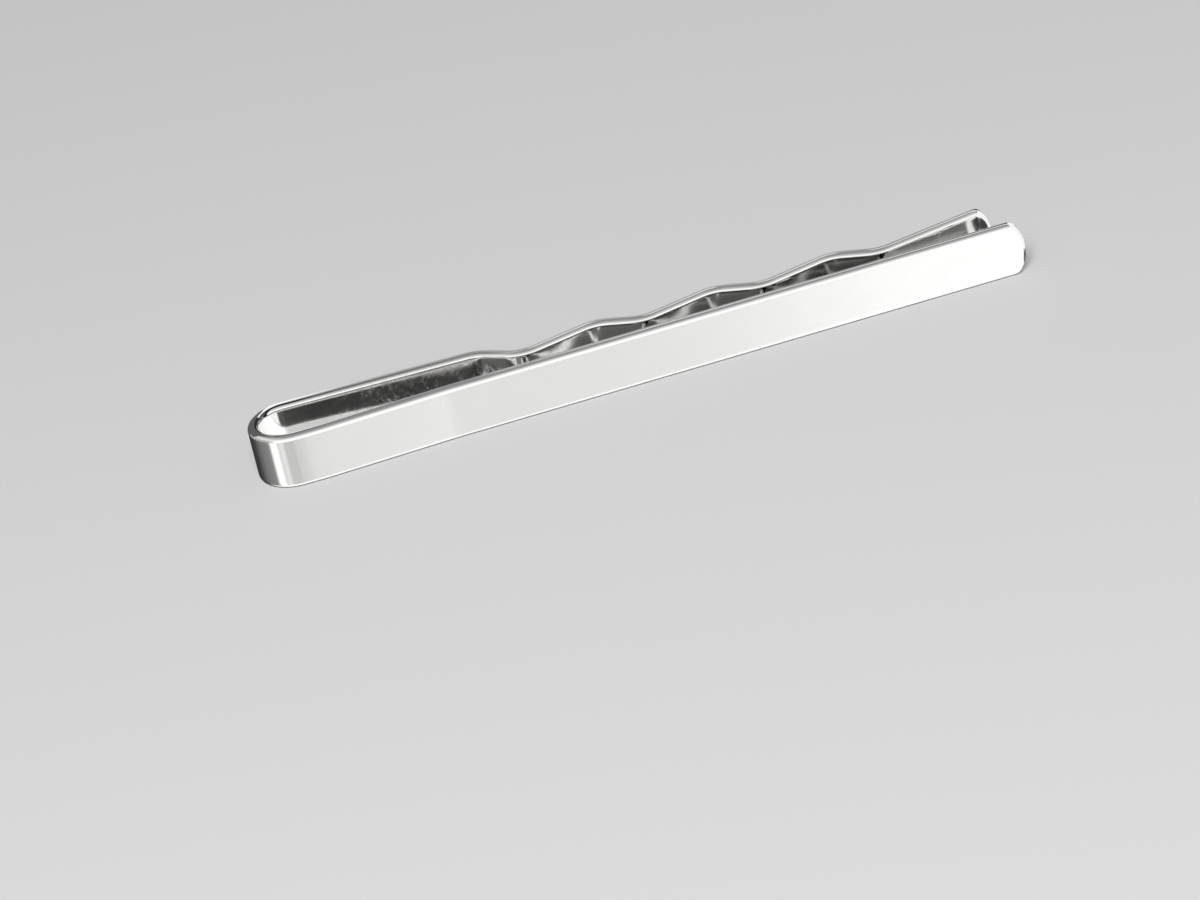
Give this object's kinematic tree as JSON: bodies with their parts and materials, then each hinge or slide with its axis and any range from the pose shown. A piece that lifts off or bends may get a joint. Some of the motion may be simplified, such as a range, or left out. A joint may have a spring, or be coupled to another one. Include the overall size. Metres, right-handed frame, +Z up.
{
  "type": "tie clip",
  "caption": "Slide-on tie clip bent from one strip: a flat front bar, a round sprung fold and a waved gripping leg with a flared tip.",
  "frame": {"origin": "on the surface that the clip stands on with its long edge, midway along its length and on the axis of the fold, which is midway across it to 0.02 mm", "axes": "+X from the fold to the open end, +Y from the front bar to the sprung leg, +Z up across the width of the strip"},
  "size_m": [0.055, 0.0056, 0.004],
  "materials": {
    "front_silver": "polished sterling silver with a fine lengthwise lustre",
    "fold_silver": "polished sterling silver, bent round the fold",
    "leg_silver": "polished sterling silver with faint handling marks on its inner face"
  },
  "bodies": {
    "bar": {"front_bar": "front_silver", "fold_bend": "fold_silver"},
    "leg": {"spring_leg": "leg_silver"}
  },
  "joints": [
    {"name": "leg_flex", "type": "hinge", "parent": "bar", "child": "leg", "pos_m": [-0.02474, 0, 0.002], "axis": [0, 0, 1], "range_deg": [-1.2, 4], "stiffness_Nm_per_rad": 0.32, "deforming": ["fold_bend"]}
  ]
}
